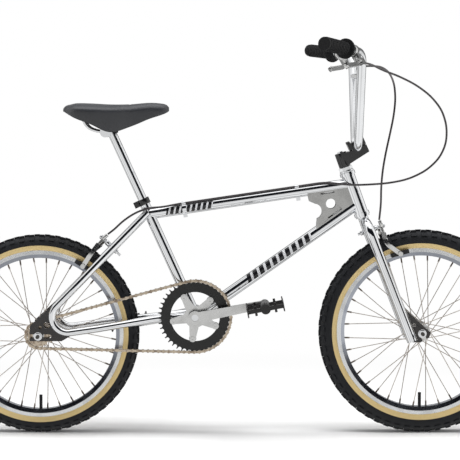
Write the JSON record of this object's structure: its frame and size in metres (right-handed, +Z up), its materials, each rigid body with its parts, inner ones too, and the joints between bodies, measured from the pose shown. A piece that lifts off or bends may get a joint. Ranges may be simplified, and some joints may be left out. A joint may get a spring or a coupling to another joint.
{
  "type": "bmx bike",
  "caption": "Small-wheeled single-speed bicycle with a looped-stay chrome frame, rim brakes, high-rise handlebar, cage pedals and a padded saddle.",
  "frame": {"origin": "on the ground in the frame's middle plane, midway between the two ends of the bicycle", "axes": "+X forwards, +Y to the rider's left, +Z up"},
  "size_m": [1.452, 0.712, 0.976],
  "materials": {
    "chrome": "polished chrome plate",
    "satin_alloy": "satin alloy",
    "dark_steel": "black with polished edges",
    "satin_plate": "satin steel",
    "black_anodised": "black anodised",
    "rubber": "black rubber",
    "tyre": "black tread, tan sidewall band",
    "chain_plate": "nickelled steel",
    "spoke": "drawn steel",
    "bar_grip": "ribbed rubber",
    "saddle_skin": "dark grey vinyl",
    "saddle_base": "black plastic",
    "pedal_black": "black",
    "cable_housing": "black outer housing"
  },
  "bodies": {
    "frame": {"head_tube": "chrome", "top_tube": "chrome", "down_tube": "chrome", "seat_tube": "chrome", "bottom_bracket_shell": "chrome", "loop_stay_right": "chrome", "loop_stay_left": "chrome", "rear_dropouts": "dark_steel", "stay_bridges": "chrome", "head_gusset": "satin_plate", "seat_clamp": "black_anodised", "cable_clips": "chrome", "rear_brake_cable": "cable_housing", "chain": "chain_plate", "rear_axle": "chrome", "rear_brake_bolt": "chrome"},
    "steering": {"fork_steerer": "chrome", "fork_leg_right": "chrome", "fork_leg_left": "chrome", "fork_dropouts": "dark_steel", "headset_locknut": "chrome", "stem_body": "black_anodised", "stem_cap": "black_anodised", "stem_bolt": "chrome", "handlebar": "chrome", "grips": "bar_grip", "lever_perches": "satin_alloy", "front_axle": "chrome", "front_brake_bolt": "chrome", "front_brake_cable": "cable_housing"},
    "lever_right": {"lever_right": "satin_alloy"},
    "lever_left": {"lever_left": "satin_alloy"},
    "front_brake_arm_right": {"front_brake_arm_right": "satin_alloy", "front_brake_pad_right": "rubber"},
    "front_brake_arm_left": {"front_brake_arm_left": "satin_alloy", "front_brake_pad_left": "rubber"},
    "rear_brake_arm_right": {"rear_brake_arm_right": "satin_alloy", "rear_brake_pad_right": "rubber"},
    "rear_brake_arm_left": {"rear_brake_arm_left": "satin_alloy", "rear_brake_pad_left": "rubber"},
    "rear_wheel": {"rear_tyre": "tyre", "rear_rim": "satin_alloy", "rear_spokes": "spoke", "rear_hub": "satin_alloy"},
    "front_wheel": {"front_tyre": "tyre", "front_rim": "satin_alloy", "front_spokes": "spoke", "front_hub": "satin_alloy"},
    "freewheel": {"freewheel_cog": "chain_plate"},
    "crankset": {"chainring": "black_anodised", "crank_arm_right": "satin_alloy", "crank_arm_left": "satin_alloy", "bb_spindle": "chrome", "pedal_spindles": "chrome"},
    "pedal_right": {"pedal_right": "pedal_black"},
    "pedal_left": {"pedal_left": "pedal_black"},
    "saddle": {"seat_post": "chrome", "saddle_cover": "saddle_skin", "saddle_shell": "saddle_base", "saddle_rails": "chrome"}
  },
  "joints": [
    {"name": "steering_turn", "type": "hinge", "parent": "frame", "child": "steering", "pos_m": [0.32324, 0, 0.55118], "axis": [-0.3387, 0, 0.9409], "range_deg": [-45, 45]},
    {"name": "rear_wheel_spin", "type": "hinge", "parent": "frame", "child": "rear_wheel", "pos_m": [-0.478, 0, 0.248], "axis": [0, 1, 0], "continuous": true},
    {"name": "front_wheel_spin", "type": "hinge", "parent": "steering", "child": "front_wheel", "pos_m": [0.472, 0, 0.254], "axis": [0, 1, 0], "continuous": true},
    {"name": "crank_spin", "type": "hinge", "parent": "frame", "child": "crankset", "pos_m": [-0.09, 0, 0.295], "axis": [0, 1, 0], "continuous": true, "deforming": ["chain"]},
    {"name": "freewheel_spin", "type": "hinge", "parent": "frame", "child": "freewheel", "pos_m": [-0.478, 0, 0.248], "axis": [0, 1, 0], "continuous": true},
    {"name": "pedal_right_spin", "type": "hinge", "parent": "crankset", "child": "pedal_right", "pos_m": [0.08178, 0, 0.32839], "axis": [0, 1, 0], "continuous": true},
    {"name": "pedal_left_spin", "type": "hinge", "parent": "crankset", "child": "pedal_left", "pos_m": [-0.26178, 0, 0.26161], "axis": [0, 1, 0], "continuous": true},
    {"name": "lever_right_squeeze", "type": "hinge", "parent": "steering", "child": "lever_right", "pos_m": [0.29903, -0.21934, 0.92137], "axis": [-0.7617, 0.365, -0.5354], "range_deg": [0, 18], "stiffness_Nm_per_rad": 0.8, "springref_deg": -20.05},
    {"name": "lever_left_squeeze", "type": "hinge", "parent": "steering", "child": "lever_left", "pos_m": [0.29903, 0.21934, 0.92137], "axis": [0.7617, 0.365, 0.5354], "range_deg": [0, 18], "stiffness_Nm_per_rad": 0.8, "springref_deg": -20.05},
    {"name": "front_brake_right_close", "type": "hinge", "parent": "steering", "child": "front_brake_arm_right", "pos_m": [0.36917, 0, 0.51511], "axis": [0.9409, 0, 0.3387], "range_deg": [0, 1.08]},
    {"name": "front_brake_left_close", "type": "hinge", "parent": "steering", "child": "front_brake_arm_left", "pos_m": [0.36917, 0, 0.51511], "axis": [-0.9409, 0, -0.3387], "range_deg": [0, 1.08]},
    {"name": "rear_brake_right_close", "type": "hinge", "parent": "frame", "child": "rear_brake_arm_right", "pos_m": [-0.31722, 0, 0.48263], "axis": [0.7133, 0, -0.7009], "range_deg": [0, 1.08]},
    {"name": "rear_brake_left_close", "type": "hinge", "parent": "frame", "child": "rear_brake_arm_left", "pos_m": [-0.31722, 0, 0.48263], "axis": [-0.7133, 0, 0.7009], "range_deg": [0, 1.08]},
    {"name": "seat_height", "type": "slide", "parent": "frame", "child": "saddle", "axis": [-0.4139, 0, 0.9103], "range_m": [-0.03, 0.05]}
  ],
  "couplings": [
    {"joint": "freewheel_spin", "follows": "crank_spin", "ratio": 2.75},
    {"joint": "front_brake_right_close", "follows": "lever_left_squeeze", "ratio": 0.06},
    {"joint": "front_brake_left_close", "follows": "lever_left_squeeze", "ratio": 0.06},
    {"joint": "rear_brake_right_close", "follows": "lever_right_squeeze", "ratio": 0.06},
    {"joint": "rear_brake_left_close", "follows": "lever_right_squeeze", "ratio": 0.06}
  ]
}
